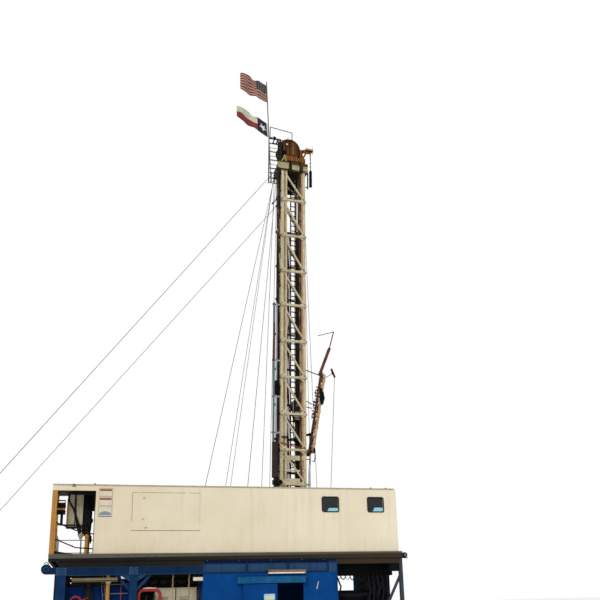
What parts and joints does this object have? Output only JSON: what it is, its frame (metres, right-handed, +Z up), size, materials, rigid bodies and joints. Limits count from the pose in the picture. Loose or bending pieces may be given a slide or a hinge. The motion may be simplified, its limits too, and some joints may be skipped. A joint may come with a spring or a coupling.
{
  "type": "land drilling rig",
  "caption": "Land drilling rig: latticed leaning mast with crown, racking board and block over a raised deck with a long wall house and a blue cabin below",
  "frame": {"origin": "on the underside of the middle skid, at the middle of the rig, at ground level", "axes": "+X along the long house to the right as seen from its front, +Y away from the house front towards the back of the deck, +Z up"},
  "size_m": [21.4198, 10.9399, 30.1099],
  "materials": {
    "skid_base": "worn paint",
    "front_posts": "worn paint",
    "rear_posts": "worn paint",
    "deck_girders": "worn paint",
    "deck_joists": "worn paint",
    "deck_edge": "worn paint",
    "deck_plate": "worn paint",
    "cabin_floor": "worn paint",
    "cabin_front_left": "worn paint",
    "cabin_front_right": "worn paint",
    "cabin_lintel": "worn paint",
    "cabin_walls": "worn paint",
    "cabin_roof": "worn paint",
    "cabin_fascia": "worn paint",
    "sliding_door": "worn paint",
    "door_track": "worn paint",
    "door_light": "glowing cover",
    "house_front_wall": "worn paint",
    "house_bay_wall": "worn paint",
    "house_right_wall": "worn paint",
    "house_back_wall": "worn paint",
    "house_roof": "worn paint",
    "bay_posts": "worn paint",
    "bay_header": "worn paint",
    "window_frames": "matte",
    "window_panes": "clear",
    "wall_hatch": "worn paint",
    "deck_rails": "worn paint",
    "bay_equipment": "worn paint",
    "mast_base": "worn paint",
    "mast_near_lower": "worn paint",
    "mast_near_upper": "worn paint",
    "mast_far_lower": "worn paint",
    "mast_far_upper": "worn paint",
    "mast_left_side": "worn paint",
    "crown_beams": "worn paint",
    "crown_guard": "worn paint",
    "crown_sheaves": "worn",
    "crown_platform": "worn paint",
    "crown_ladder": "worn paint",
    "hanging_weight": "worn",
    "flag_pole": "satin",
    "upper_flag": "weathered",
    "lower_flag": "weathered",
    "board_brackets": "worn paint",
    "racking_board": "worn paint",
    "travelling_block": "worn",
    "drilling_lines": "weathered",
    "fast_line": "weathered",
    "line_drum": "worn paint",
    "standpipe": "worn paint",
    "flow_vessel": "worn paint",
    "guy_lines": "weathered",
    "load_guys": "weathered",
    "guy_anchors": "worn paint",
    "under_deck_tank": "worn paint",
    "under_deck_boxes": "worn paint",
    "under_deck_pipes": "worn paint",
    "rope_left": "weathered",
    "rope_right": "weathered"
  },
  "bodies": {
    "rig": {"skid_base": "skid_base", "front_posts": "front_posts", "rear_posts": "rear_posts", "deck_girders": "deck_girders", "deck_joists": "deck_joists", "deck_edge": "deck_edge", "deck_plate": "deck_plate", "cabin_floor": "cabin_floor", "cabin_front_left": "cabin_front_left", "cabin_front_right": "cabin_front_right", "cabin_lintel": "cabin_lintel", "cabin_walls": "cabin_walls", "cabin_roof": "cabin_roof", "cabin_fascia": "cabin_fascia", "door_track": "door_track", "door_light": "door_light", "house_front_wall": "house_front_wall", "house_bay_wall": "house_bay_wall", "house_right_wall": "house_right_wall", "house_back_wall": "house_back_wall", "house_roof": "house_roof", "bay_posts": "bay_posts", "bay_header": "bay_header", "window_frames": "window_frames", "window_panes": "window_panes", "wall_hatch": "wall_hatch", "deck_rails": "deck_rails", "bay_equipment": "bay_equipment", "mast_base": "mast_base", "mast_near_lower": "mast_near_lower", "mast_near_upper": "mast_near_upper", "mast_far_lower": "mast_far_lower", "mast_far_upper": "mast_far_upper", "mast_left_side": "mast_left_side", "crown_beams": "crown_beams", "crown_guard": "crown_guard", "crown_platform": "crown_platform", "crown_ladder": "crown_ladder", "hanging_weight": "hanging_weight", "flag_pole": "flag_pole", "upper_flag": "upper_flag", "lower_flag": "lower_flag", "board_brackets": "board_brackets", "drilling_lines": "drilling_lines", "fast_line": "fast_line", "line_drum": "line_drum", "standpipe": "standpipe", "flow_vessel": "flow_vessel", "guy_lines": "guy_lines", "load_guys": "load_guys", "guy_anchors": "guy_anchors", "under_deck_tank": "under_deck_tank", "under_deck_boxes": "under_deck_boxes", "under_deck_pipes": "under_deck_pipes", "rope_left": "rope_left", "rope_right": "rope_right"},
    "sliding_door": {"sliding_door": "sliding_door"},
    "racking_board": {"racking_board": "racking_board"},
    "travelling_block": {"travelling_block": "travelling_block"},
    "crown_sheaves": {"crown_sheaves": "crown_sheaves"}
  },
  "joints": [
    {"name": "door_slide", "type": "slide", "parent": "rig", "child": "sliding_door", "axis": [1, 0, 0], "range_m": [0, 1.1]},
    {"name": "board_fold", "type": "hinge", "parent": "rig", "child": "racking_board", "pos_m": [5.23979, 2.25, 8.59623], "axis": [0, 1, 0], "range_deg": [0, 79]},
    {"name": "block_travel", "type": "slide", "parent": "rig", "child": "travelling_block", "axis": [0, 0, 1], "range_m": [-3.7, 12.2], "deforming": ["drilling_lines"]},
    {"name": "sheave_spin", "type": "hinge", "parent": "rig", "child": "crown_sheaves", "pos_m": [4.53558, 2.25, 25.4945], "axis": [0, 1, 0], "continuous": true}
  ]
}
